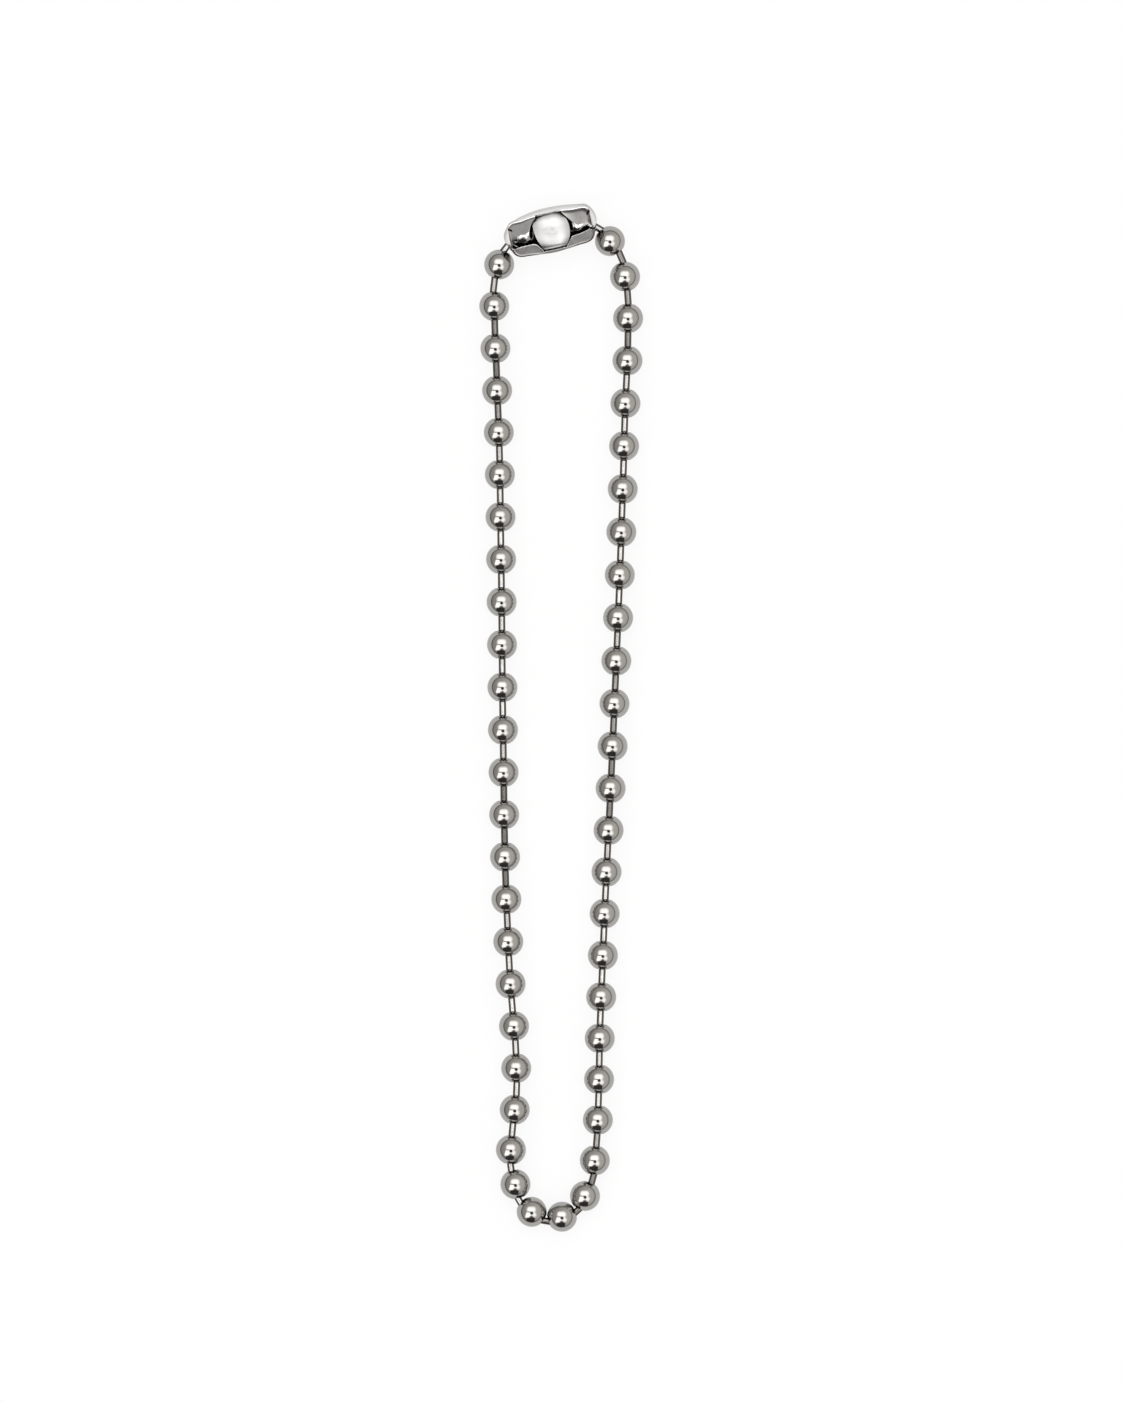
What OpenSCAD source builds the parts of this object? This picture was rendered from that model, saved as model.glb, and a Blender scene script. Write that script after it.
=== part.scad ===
// Ball chain necklace, laid flat in a long narrow loop.
// Hollow steel balls are joined by loose dumbbell links, and a folded sheet connector
// holds the two end balls. +Z is up and the chain rests on the plane Z = 0.
// The origin is under the middle of the whole laid loop.

/* [Balls] */
// Outer diameter of a hollow ball
ball_d = 8; // [7.9:0.05:8]
// Wall thickness of a ball
ball_wall = 0.3; // [0.2:0.05:0.35]
// Diameter of the two holes in each ball
hole_d = 2.78; // [2.76:0.02:2.82]

/* [Links] */
// Diameter of a link's shank
shank_d = 1.84; // [1.7:0.02:1.86]
// Length of the shank between its two heads
shank_l = 5.2; // [5.1:0.05:5.3]
// Diameter of the heads, wider than the holes
head_d = 3; // [2.9:0.05:3.05]
// Thickness of a head
head_l = 0.9; // [0.7:0.1:0.9]

/* [Connector] */
// Half width of the trough at its middle
trough_r = 5.4; // [5.35:0.05:5.5]
// Distance from the middle of the connector to each end ball
end_ball_x = 7.2; // [7.1:0.1:7.3]
// Height of the flat front above the trough's axis
front_h = 4.8; // [4.7:0.05:5]
// Half length of the flat front
front_x = 10.9; // [10.7:0.1:11]
// Thickness of the folded sheet
sheet = 0.55; // [0.5:0.05:0.6]
// Radius of the belly curve along the sides
belly_r = 45; // [44:1:60]
// Outer radius of the strap across the middle
strap_r = 5.2; // [5.1:0.05:5.3]
// Height of the strap's centre above the trough's axis
strap_z = 1.4; // [1.3:0.1:1.5]

/* [Placing] */
// Direction of the connector in plan, counterclockwise from +X
connector_turn = 12.5; // [10:0.5:14]
// Roll of the connector about its own length
connector_roll = 24; // [20:1:26]
// How far the end balls drop inside the trough
end_ball_drop = 0.05; // [0:0.05:0.1]

/* [Hidden] */
$fn = 48;
eps = 0.01;
far = 30;

ball_r = ball_d / 2;
hole_reach = ball_r - ball_wall / 2;

// Columns of the table of key balls
BALL = 0;
X = 1;
Y = 2;

// The balls that settle the loop's outline, counted from the connector's left end
// down the left strand and up the right one. The others follow a smooth curve.
key_balls = [
    [0, -16.4, 120.0],
    [1, -17.7, 109.0],
    [2, -17.4, 97.8],
    [4, -16.5, 75.6],
    [7, -15.9, 42.0],
    [11, -15.4, -3.1],
    [15, -14.5, -47.9],
    [17, -13.4, -70.3],
    [19, -11.9, -92.6],
    [20, -12.3, -103.6],
    [21, -13.3, -114.2],
    [22, -12.1, -123.3],
    [23, -7.8, -130.6],
    [24, 0.2, -131.9],
    [25, 6.3, -126.4],
    [26, 8.9, -117.0],
    [27, 9.7, -106.3],
    [29, 10.2, -84.7],
    [32, 11.5, -51.7],
    [36, 13.6, -7.4],
    [40, 15.5, 37.9],
    [44, 17.0, 83.3],
    [46, 17.7, 105.8],
    [47, 16.9, 116.8],
    [48, 12.9, 126.2]
];
last_key = len(key_balls) - 1;
free_balls = key_balls[last_key][BALL] + 1;

// Middle of the connector's trough in plan
connector_xy = [-3.0, 129.7];

// Slope of a column at a key ball, for each step of one ball
function secant(k, col) =
    (key_balls[k + 1][col] - key_balls[k][col]) / (key_balls[k + 1][BALL] - key_balls[k][BALL]);
function slope(k, col) =
    k == 0 ? secant(0, col)
    : k == last_key ? secant(last_key - 1, col)
    : let (before = key_balls[k][BALL] - key_balls[k - 1][BALL],
           after = key_balls[k + 1][BALL] - key_balls[k][BALL])
      (secant(k - 1, col) * after + secant(k, col) * before) / (before + after);

// Value of a column at ball i, on the cubic between the keys on either side
function key_before(i) =
    max([for (k = [0 : last_key - 1]) if (key_balls[k][BALL] <= i) k]);
function along(i, col) =
    let (k = key_before(i),
         span = key_balls[k + 1][BALL] - key_balls[k][BALL],
         t = (i - key_balls[k][BALL]) / span)
    key_balls[k][col] * (1 + 2 * t) * (1 - t) * (1 - t)
    + key_balls[k + 1][col] * t * t * (3 - 2 * t)
    + slope(k, col) * span * t * (1 - t) * (1 - t)
    - slope(k + 1, col) * span * t * t * (1 - t);

// The loop is centred on its own box in plan
strand_x = [for (i = [0 : free_balls - 1]) along(i, X)];
strand_y = [for (i = [0 : free_balls - 1]) along(i, Y)];
connector_top = connector_xy[1] + belly_r - (belly_r - trough_r) * cos(connector_turn);
loop_middle = [(max(strand_x) + min(strand_x)) / 2,
               (connector_top + min(strand_y) - ball_r) / 2];

// All ball centres, from one end ball in the connector to the other
function end_ball(side) =
    [connector_xy[0] + side * end_ball_x * cos(connector_turn) - loop_middle[0],
     connector_xy[1] + side * end_ball_x * sin(connector_turn) - loop_middle[1],
     trough_r - end_ball_drop];
balls = concat(
    [end_ball(-1)],
    [for (i = [0 : free_balls - 1])
        [strand_x[i] - loop_middle[0], strand_y[i] - loop_middle[1], ball_r]],
    [end_ball(1)]
);
last_ball = len(balls) - 1;

// Direction from each ball to the next, continued past both ends by its mirror image
function unit(v) = v / norm(v);
function reflect(v, line) = 2 * (v * line) * line - v;
link_dirs = [for (i = [0 : last_ball - 1]) unit(balls[i + 1] - balls[i])];
function link_dir(i) =
    i < 0 ? reflect(link_dirs[1], link_dirs[0])
    : i > last_ball - 1 ? reflect(link_dirs[last_ball - 2], link_dirs[last_ball - 1])
    : link_dirs[i];

// Direction of the holes: between the two links of a ball, and leaning to the side
// where the chain bends less, so that each link meets its two balls at like angles
hole_lean = 0.24;
function hole_dir(i) =
    i == 0 ? reflect(hole_dir(1), link_dirs[0])
    : i == last_ball ? reflect(hole_dir(last_ball - 1), link_dirs[last_ball - 1])
    : unit((0.5 + hole_lean) * (link_dir(i - 1) + link_dir(i))
           - hole_lean * (link_dir(i - 2) + link_dir(i + 1)));
hole_dirs = [for (i = [0 : last_ball]) hole_dir(i)];

// Each link runs beside the line of centres, midway between the two holes it joins
link_mids = [for (i = [0 : last_ball - 1])
    (balls[i] + hole_reach * hole_dirs[i] + balls[i + 1] - hole_reach * hole_dirs[i + 1]) / 2];

// Places its child with the child's +Z along dir
module aim(at, dir) {
    translate(at)
        rotate([0, acos(dir[2]), atan2(dir[1], dir[0])])
            children();
}

// Hollow ball with a hole at each end of its axis
module drilled_ball() {
    difference() {
        sphere(d = ball_d);
        sphere(d = ball_d - 2 * ball_wall);
        cylinder(d = hole_d, h = 2 * ball_d, center = true);
    }
}

// Rod with a round head at each end, coned towards the shank
head_r = head_d / 2;
shank_r = shank_d / 2;
neck_z = shank_l / 2;
cone_l = 0.5;
bevel = 0.2;
module dumbbell() {
    rotate_extrude()
        polygon([
            [0, -neck_z - head_l],
            [head_r - bevel, -neck_z - head_l],
            [head_r, -neck_z - head_l + bevel],
            [head_r, -neck_z - cone_l],
            [shank_r, -neck_z],
            [shank_r, neck_z],
            [head_r, neck_z + cone_l],
            [head_r, neck_z + head_l - bevel],
            [head_r - bevel, neck_z + head_l],
            [0, neck_z + head_l]
        ]);
}

module ball_beads() {
    color("silver")
        for (i = [0 : last_ball])
            aim(balls[i], hole_dirs[i])
                drilled_ball();
}

module dumbbell_links() {
    color("darkgray")
        for (i = [0 : last_ball - 1])
            aim(link_mids[i], link_dirs[i])
                dumbbell();
}

// Plan of the trough: round ends and slightly bellied sides, drawn in by inset
module trough_plan(inset) {
    intersection() {
        union() {
            square([2 * end_ball_x, 2 * (trough_r - inset)], center = true);
            for (side = [-1, 1])
                translate([side * end_ball_x, 0])
                    circle(trough_r - inset);
        }
        translate([0, trough_r - belly_r])
            circle(belly_r - inset, $fn = 180);
        translate([0, belly_r - trough_r])
            circle(belly_r - inset, $fn = 180);
    }
}

// Round back of the trough, turned about its length and kept below the axis
module trough_back(inset) {
    intersection() {
        rotate([0, 90, 0])
            rotate_extrude()
                intersection() {
                    rotate(90)
                        trough_plan(inset);
                    translate([0, -far / 2])
                        square([far / 2, far]);
                }
        translate([-far / 2, -far / 2, -far])
            cube([far, far, far]);
    }
}

// Straight sides and leaning ends of the trough, up to the flat front
module trough_front(inset) {
    intersection() {
        linear_extrude(front_h - inset)
            trough_plan(inset);
        rotate([90, 0, 0])
            translate([0, 0, -far / 2])
                linear_extrude(far)
                    polygon([
                        [-end_ball_x - trough_r + inset, -eps],
                        [end_ball_x + trough_r - inset, -eps],
                        [front_x - inset, front_h],
                        [-front_x + inset, front_h]
                    ]);
    }
}

module trough_body(inset) {
    union() {
        trough_back(inset);
        trough_front(inset);
    }
}

// Middle opening and the two slots through the front, seen from above
front_cut = [
    [-3.2, 4.8], [-5.8, 1.8], [-9.2, 1.3], [-10.6, 0.8], [-10.6, -1.8],
    [-9.2, -2.0], [-4.6, -2.3], [-2.7, -4.8], [3.4, -4.8], [5.6, -2.4],
    [10.6, -1.0], [10.6, 0.9], [7.4, 0.9], [6.7, 0.3], [5.8, 2.3], [4.5, 4.8]
];

// Outline of the strap seen from above
strap_plan = [
    [-2.7, 5.1], [3.0, 5.1], [3.3, 4.5], [4.9, 2.6], [5.2, 0.8], [4.8, -1.6],
    [3.0, -4.4], [-2.7, -4.4], [-4.4, -0.2], [-4.5, 2.3], [-3.1, 4.4]
];

// Passage for link i, round its shank where it leaves the trough
passage_r = shank_r + 0.5;
passage_tail = 1.5;
module link_passage(i, inward) {
    aim(link_mids[i], inward * link_dirs[i])
        translate([0, 0, -passage_tail])
            cylinder(r = passage_r, h = neck_z + passage_tail);
}

// Notch that opens a passage to the front, at the end wall
notch_x = 10.4;
notch_y = -2.2;
notch_l = 4;
module end_notch(side) {
    translate([side * (notch_x + notch_l / 2), notch_y, front_h])
        cube([notch_l, 2 * passage_r, 2 * front_h], center = true);
}

// Seam where the side wall meets the end wall at a front corner
seam_x = 10.7;
seam_y = 3.6;
seam_turn = 40;
seam_w = 0.4;
seam_l = 3.2;
seam_depth = 1.8;
module corner_seam(side) {
    translate([side * seam_x, seam_y, front_h])
        rotate(side * seam_turn)
            cube([seam_l, seam_w, 2 * seam_depth], center = true);
}

// Bulging strap that closes the middle of the front, rooted in the upper side wall
strap_root = 2;
module strap() {
    intersection() {
        rotate([0, 90, 0])
            difference() {
                translate([-strap_z, 0, -far / 2])
                    cylinder(r = strap_r, h = far);
                translate([-strap_z, 0, -far])
                    cylinder(r = strap_r - sheet, h = 2 * far);
            }
        translate([0, 0, front_h - strap_root])
            linear_extrude(far)
                polygon(strap_plan);
    }
}

module connector() {
    color("gainsboro")
        difference() {
            translate([connector_xy[0] - loop_middle[0], connector_xy[1] - loop_middle[1], trough_r])
                rotate([0, 0, connector_turn])
                    rotate([connector_roll, 0, 0])
                        union() {
                            difference() {
                                trough_body(0);
                                trough_body(sheet);
                                translate([0, 0, front_h - 1.5 * sheet])
                                    linear_extrude(2 * sheet)
                                        polygon(front_cut);
                                for (side = [-1, 1]) {
                                    end_notch(side);
                                    corner_seam(side);
                                }
                            }
                            strap();
                        }
            link_passage(0, -1);
            link_passage(last_ball - 1, 1);
        }
}

ball_beads();
dumbbell_links();
connector();
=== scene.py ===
import bpy
import numpy as np
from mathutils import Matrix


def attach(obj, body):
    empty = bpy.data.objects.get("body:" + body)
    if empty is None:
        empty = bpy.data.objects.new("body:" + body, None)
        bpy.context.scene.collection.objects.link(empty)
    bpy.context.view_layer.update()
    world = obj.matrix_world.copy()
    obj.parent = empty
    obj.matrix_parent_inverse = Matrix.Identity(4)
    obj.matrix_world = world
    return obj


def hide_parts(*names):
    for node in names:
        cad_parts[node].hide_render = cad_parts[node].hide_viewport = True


# A ball chain necklace laid flat: hollow polished balls, drawn dumbbell links, and a connector
# folded from one sheet

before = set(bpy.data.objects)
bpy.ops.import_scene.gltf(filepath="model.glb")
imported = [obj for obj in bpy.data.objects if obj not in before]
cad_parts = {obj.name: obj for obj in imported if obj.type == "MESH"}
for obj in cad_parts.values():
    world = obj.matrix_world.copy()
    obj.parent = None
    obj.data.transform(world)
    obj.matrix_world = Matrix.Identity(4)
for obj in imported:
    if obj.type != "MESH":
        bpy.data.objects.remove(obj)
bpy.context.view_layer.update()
print("frame loaded:", sorted(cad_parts))

mm = 0.001  # lengths below are in millimetres, meshes in metres


# Groups a node's triangles into its loose solids: corners at one place share the lowest label
# of the triangles around them, and the labels spread until none changes. Gives the corners of
# each triangle and the number of its solid.
def looseSolids(node):
    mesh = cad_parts[node].data
    points = np.empty(len(mesh.vertices) * 3)
    mesh.vertices.foreach_get("co", points)
    points = points.reshape(-1, 3) / mm
    corners = np.empty(len(mesh.loops), int)
    mesh.loops.foreach_get("vertex_index", corners)
    sameDigits = 3  # corners that agree to a micrometre are one place
    places, same = np.unique(np.round(points, sameDigits), axis=0, return_inverse=True)
    triangles = same.reshape(-1)[corners].reshape(-1, 3)
    label = np.arange(len(places))
    while True:
        lowest = label[triangles].min(axis=1)
        spread = label.copy()
        np.minimum.at(spread, triangles.reshape(-1), np.repeat(lowest, 3))
        spread = spread[spread]
        if (spread == label).all():
            break
        label = spread
    solid = np.unique(label[triangles[:, 0]], return_inverse=True)[1].reshape(-1)
    return places[triangles], solid


# Centre and axis of each loose solid of a node. The centre is the middle of its surface, each
# triangle weighed by its area. The axis is the direction in which the surface spreads the most,
# as for a link, or the least, as for a ball that is drilled through.
def centresAndAxes(node, alongMost):
    triangles, solid = looseSolids(node)
    count = solid.max() + 1
    firstSide = triangles[:, 1] - triangles[:, 0]
    secondSide = triangles[:, 2] - triangles[:, 0]
    area = np.linalg.norm(np.cross(firstSide, secondSide), axis=1)
    middle = triangles.mean(axis=1)
    total = np.bincount(solid, area, count)
    sums = [np.bincount(solid, area * middle[:, k], count) for k in range(3)]
    centres = np.stack([sumAlong / total for sumAlong in sums], axis=1)
    away = middle - centres[solid]
    moments = np.zeros((count, 3, 3))
    np.add.at(moments, solid, area[:, None, None] * away[:, :, None] * away[:, None, :])
    which = 2 if alongMost else 0  # eigh gives the axis of the least spread first
    return centres, np.linalg.eigh(moments)[1][:, :, which]


# Unit spokes square to each axis: side * cos + third * sin at even steps of a whole turn. Side
# is square to the axis and to a helper, which points up unless the axis is steep.
def spokesAround(axes, steps):
    steep = 0.8
    up, sideways = np.array([[0.0, 0.0, 1.0]]), np.array([[1.0, 0.0, 0.0]])
    helper = np.where(np.abs(axes[:, 2:]) < steep, up, sideways)
    side = np.cross(helper, axes)
    side /= np.linalg.norm(side, axis=1, keepdims=True)
    third = np.cross(axes, side)
    turn = np.linspace(0, 2 * np.pi, steps, endpoint=False)[None, :, None]
    return side[:, None, :] * np.cos(turn) + third[:, None, :] * np.sin(turn)


# Points of a circle's arc on a profile, from start to stop in degrees: the middle, plus
# radius * cos along the axis and radius * sin away from it
def arc(middle, radius, start, stop, count):
    turn = np.radians(np.linspace(start, stop, count))
    return np.stack([middle[0] + radius * np.cos(turn), middle[1] + radius * np.sin(turn)], axis=1)


# 0 before start, 1 after stop, and the even S curve t * t * (3 - 2 * t) between
def smoothStep(start, stop, value):
    t = np.clip((value - start) / (stop - start), 0, 1)
    return t * t * (3 - 2 * t)


# Quads of a grid of rows by columns, wrapped round the columns and, if asked, the rows
def gridFaces(rows, columns, wrapRows=False, wrapColumns=True):
    row = np.arange(rows if wrapRows else rows - 1)[:, None]
    column = np.arange(columns if wrapColumns else columns - 1)[None, :]
    nextRow = (row + 1) % rows
    nextColumn = (column + 1) % columns
    quads = [row * columns + column, row * columns + nextColumn,
             nextRow * columns + nextColumn, nextRow * columns + column]
    return np.stack([np.broadcast_to(q, (len(row), column.shape[1])) for q in quads], axis=-1)


# Makes a smooth mesh object from points in millimetres and quads. Shade is painted shade at
# each point, 0 on the open surface and 1 in the dark of a hole.
def makePiece(name, points, quads, materials, shade=None):
    mesh = bpy.data.meshes.new(name)
    mesh.from_pydata((points * mm).tolist(), [], quads.tolist())
    if shade is not None:
        values = mesh.attributes.new("shade", "FLOAT", "POINT").data
        values.foreach_set("value", shade.astype(np.float32))
    mesh.polygons.foreach_set("use_smooth", np.ones(len(mesh.polygons), bool))
    for material in materials:
        mesh.materials.append(material)
    piece = bpy.data.objects.new(name, mesh)
    bpy.context.scene.collection.objects.link(piece)
    return piece


# Turns one profile, given as (distance along the axis, distance from it), about every axis at
# once: centre + along * axis + away * spoke. Points and shade are indexed by the solid, the
# profile's point and the spoke.
def turnedSolids(name, centres, axes, spokes, profile, shade, material, closed):
    along = profile[None, :, None, 0:1]
    away = profile[None, :, None, 1:2]
    points = (centres[:, None, None, :] + along * axes[:, None, None, :]
              + away * spokes[:, None, :, :])
    steps = spokes.shape[1]
    quads = gridFaces(len(profile), steps, wrapRows=closed)[:, :, ::-1].reshape(-1, 4)
    firstPoint = np.arange(len(centres)) * len(profile) * steps
    quads = (quads[None] + firstPoint[:, None, None]).reshape(-1, 4)
    shade = np.broadcast_to(shade, points.shape[:3]).reshape(-1)
    return makePiece(name, points.reshape(-1, 3), quads, [material], shade)


# Adds a node, sets its properties and its plain inputs, and links the inputs that are sockets
def addNode(tree, kind, inputs=None, **settings):
    node = tree.nodes.new(kind)
    for key, value in settings.items():
        setattr(node, key, value)
    for key, value in (inputs or {}).items():
        if isinstance(value, bpy.types.NodeSocket):
            tree.links.new(value, node.inputs[key])
        else:
            node.inputs[key].default_value = value
    return node


# One arithmetic step on sockets or plain numbers
def calc(tree, operation, *values):
    return addNode(tree, "ShaderNodeMath", dict(enumerate(values)), operation=operation).outputs[0]


# First * (1 - factor) + second * factor. The mix node's colours are its inputs 6 and 7 and its
# output 2.
def mixColour(tree, factor, first, second):
    inputs = {"Factor": factor, 6: first, 7: second}
    return addNode(tree, "ShaderNodeMix", inputs, data_type="RGBA").outputs[2]


# Carries a value from one range over to another. Kind is how it runs between them.
def mapRange(tree, value, fromRange, toRange, kind="LINEAR"):
    inputs = {"Value": value, "From Min": fromRange[0], "From Max": fromRange[1],
              "To Min": toRange[0], "To Max": toRange[1]}
    return addNode(tree, "ShaderNodeMapRange", inputs, interpolation_type=kind).outputs[0]


# A noise texture's value at a place, from 0 to 1
def noise(tree, place, scale, detail, roughness=0.5):
    inputs = {"Vector": place, "Scale": scale, "Detail": detail, "Roughness": roughness}
    return addNode(tree, "ShaderNodeTexNoise", inputs).outputs["Fac"]


# A grey that may lean to brown, with green falling by a share of what blue falls by
def grey(value, warmth=0.0):
    greenShare = 0.45
    return (value, value * (1 - greenShare * warmth), value * (1 - warmth), 1.0)


# Steels with smudges in their colour and gloss, slow waves in their form and fine hairlines.
# Light and dark are the smudges' colours, and shaded is the colour of the painted shade where
# shade is 1. Gloss is the least and the greatest roughness, edge the tint at a grazing angle, and
# stretch the run of the hairlines. Scales are features for each millimetre and depths are in
# millimetres.
steelSettings = {
    "polished": {
        "light": (0.400, 0.394, 0.380), "dark": (0.365, 0.355, 0.338),
        "shaded": (0.020, 0.016, 0.012), "gloss": (0.05, 0.10), "edge": 0.88,
        "stretch": (1.0, 0.2, 1.0), "smudgeScale": 0.9, "waveScale": 0.45, "waveDepth": 0.010,
        "hairScale": 14.0, "hairDepth": 0.0003},
    "drawn": {
        "light": (0.760, 0.752, 0.738), "dark": (0.600, 0.585, 0.560),
        "shaded": (0.035, 0.027, 0.020), "gloss": (0.20, 0.28), "edge": 0.50,
        "stretch": (1.0, 0.12, 1.0), "smudgeScale": 0.8, "waveScale": 0.5, "waveDepth": 0.003,
        "hairScale": 7.0, "hairDepth": 0.0005},
    # Painted light: a lighter copy of the connector's steel, for its wall and turned-up lips
    "paintedLit": {
        "light": (0.950, 0.950, 0.950), "dark": (0.880, 0.880, 0.878),
        "shaded": (0.110, 0.085, 0.060), "gloss": (0.14, 0.24), "edge": 0.90,
        "stretch": (0.15, 1.0, 1.0), "smudgeScale": 0.7, "waveScale": 0.30, "waveDepth": 0.008,
        "hairScale": 10.0, "hairDepth": 0.0006},
    # Painted shade: a darker copy of the same steel, for the connector's front
    "sheet": {
        "light": (0.530, 0.525, 0.515), "dark": (0.480, 0.472, 0.460),
        "shaded": (0.110, 0.085, 0.060), "gloss": (0.26, 0.34), "edge": 0.70,
        "stretch": (0.15, 1.0, 1.0), "smudgeScale": 0.5, "waveScale": 0.25, "waveDepth": 0.003,
        "hairScale": 10.0, "hairDepth": 0.0004},
    "satin": {
        "light": (0.700, 0.697, 0.692), "dark": (0.660, 0.656, 0.650),
        "shaded": (0.110, 0.106, 0.100), "gloss": (0.32, 0.40), "edge": 0.80,
        "stretch": (1.0, 0.15, 1.0), "smudgeScale": 0.8, "waveScale": 0.35, "waveDepth": 0.012,
        "hairScale": 12.0, "hairDepth": 0.0015},
    # Painted shade: a dark copy of the steel, for the inner sides of the connector's sheets
    "hollow": {
        "light": (0.150, 0.142, 0.130), "dark": (0.080, 0.074, 0.066),
        "shaded": (0.020, 0.016, 0.012), "gloss": (0.30, 0.45), "edge": 0.60,
        "stretch": (0.15, 1.0, 1.0), "smudgeScale": 0.8, "waveScale": 0.35, "waveDepth": 0.008,
        "hairScale": 12.0, "hairDepth": 0.0012},
}
grainSettings = {"smudgeDetail": 3.0, "smudgeRoughness": 0.55, "smudgeRange": (0.3, 0.7),
                 "waveDetail": 1.0, "hairDetail": 2.0}


# Colour is dark to light by the smudges and then to shaded by the painted shade at the point,
# gloss goes by the smudges, and the hairlines' bumps lie on the waves
def steel(name):
    values, grain = steelSettings[name], grainSettings
    material = bpy.data.materials.new(name + "Steel")
    material.use_nodes = True
    tree = material.node_tree
    shader = tree.nodes["Principled BSDF"]
    place = addNode(tree, "ShaderNodeTexCoord").outputs["Object"]
    shade = addNode(tree, "ShaderNodeAttribute", attribute_name="shade").outputs["Fac"]
    inMm = addNode(tree, "ShaderNodeMapping", {"Vector": place, "Scale": (1 / mm,) * 3}).outputs[0]
    stretch = {"Vector": inMm, "Scale": values["stretch"]}
    stretched = addNode(tree, "ShaderNodeMapping", stretch).outputs[0]

    detail, roughness = grain["smudgeDetail"], grain["smudgeRoughness"]
    smudge = noise(tree, inMm, values["smudgeScale"], detail, roughness)
    colour = mixColour(tree, smudge, (*values["dark"], 1), (*values["light"], 1))
    # Painted shade: the colour goes toward the dark shaded colour where the shade attribute is high
    colour = mixColour(tree, shade, colour, (*values["shaded"], 1))
    gloss = mapRange(tree, smudge, grain["smudgeRange"], values["gloss"])

    wave = noise(tree, inMm, values["waveScale"], grain["waveDetail"])
    hair = noise(tree, stretched, values["hairScale"], grain["hairDetail"])
    waves = {"Height": wave, "Distance": values["waveDepth"] * mm}
    waved = addNode(tree, "ShaderNodeBump", waves).outputs[0]
    hairs = {"Height": hair, "Distance": values["hairDepth"] * mm, "Normal": waved}
    lined = addNode(tree, "ShaderNodeBump", hairs).outputs[0]

    shader.inputs["Metallic"].default_value = 1.0
    shader.inputs["Specular Tint"].default_value = grey(values["edge"])
    tree.links.new(colour, shader.inputs["Base Color"])
    tree.links.new(gloss, shader.inputs["Roughness"])
    tree.links.new(lined, shader.inputs["Normal"])
    return material


# Lip is the radius of the rounding at a hole's edge, and the rim is the painted shade's ring round
# it
ballSettings = {
    "radius": 4.0, "wall": 0.3, "hole": 1.39, "lip": 0.16, "rimWidth": 0.45, "rimShade": 0.75,
    "steps": 48, "outerRings": 25, "lipRings": 5, "innerRings": 5,
}


# A ball's wall is a closed profile: the outer arc from hole to hole, a small rounded lip, the
# inner arc back and the other lip. The lips and the inner side are in full painted shade, and
# the outer side's painted shade falls evenly to 0 across the rim.
def makeBalls(values):
    centres, axes = centresAndAxes("ball_beads", alongMost=False)
    radius, hole, lip = values["radius"], values["hole"], values["lip"]
    inner = radius - values["wall"]
    lipTurn = np.degrees(np.arcsin((hole + lip) / (radius - lip)))
    lipPlace = (radius - lip) * np.cos(np.radians(lipTurn))
    innerTurn = np.degrees(np.arcsin(hole / inner))
    profile = np.concatenate([
        arc((0, 0), radius, lipTurn, 180 - lipTurn, values["outerRings"]),
        arc((-lipPlace, hole + lip), lip, 180 - lipTurn, 270, values["lipRings"])[1:],
        arc((0, 0), inner, 180 - innerTurn, innerTurn, values["innerRings"]),
        arc((lipPlace, hole + lip), lip, -90, lipTurn, values["lipRings"])[:-1],
    ])
    pastRim = np.clip((profile[:, 1] - hole - lip) / values["rimWidth"], 0, 1)
    onOuter = np.arange(len(profile)) < values["outerRings"]
    shade = np.where(onOuter, values["rimShade"] * (1 - pastRim), 1.0)[None, :, None]
    spokes = spokesAround(axes, values["steps"])
    balls = turnedSolids("ballBeads", centres, axes, spokes, profile, shade,
                         steel("polished"), closed=True)
    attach(balls, "root")
    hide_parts("ball_beads")
    print("balls:", len(centres), "with", len(balls.data.polygons) * 2, "triangles")


# A link is a shank with a fillet, a cone and a round-edged head at each end. The shank's painted
# shade grows from cleanHalf to darkHalf, with the rings between, and lastRing is nearest its
# middle. Its sides are painted in shade too: sideFrom is the upward part of a spoke where that
# starts, and sideOver the fall of it in which the shade is full. Dull is the most by which a whole
# link is painted darker.
linkSettings = {
    "shank": 0.92, "shankHalf": 2.6, "head": 1.5, "headLength": 0.9, "cone": 0.5, "round": 0.2,
    "fillet": 0.12, "filletFoot": 0.02, "steps": 30, "roundSteps": 5,
    "darkHalf": 1.85, "rings": (1.74, 1.62), "cleanHalf": 1.50, "lastRing": 0.75,
    "sideShade": 0.87, "sideFrom": 0.965, "sideOver": 0.10,
    "dull": 0.80, "dullEvery": 123.0, "dullAt": 102.7, "dullLean": 0.77,
    "dullSpread": 0.22, "dullSeed": 5,
}


# Some links are painted darker as a whole, in slow waves along the loop: the square of
# (1 + cos) / 2, greatest where y less dullLean * x is dullAt and at every dullEvery from there,
# plus a random part for each link
def linkDarkening(values, centres):
    along = centres[:, 1] - values["dullLean"] * centres[:, 0] - values["dullAt"]
    wave = (0.5 + 0.5 * np.cos(2 * np.pi * along / values["dullEvery"])) ** 2
    chance = np.random.default_rng(values["dullSeed"]).uniform(-1, 1, len(centres))
    return values["dull"] * np.clip(wave + values["dullSpread"] * chance, 0, 1)
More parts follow.
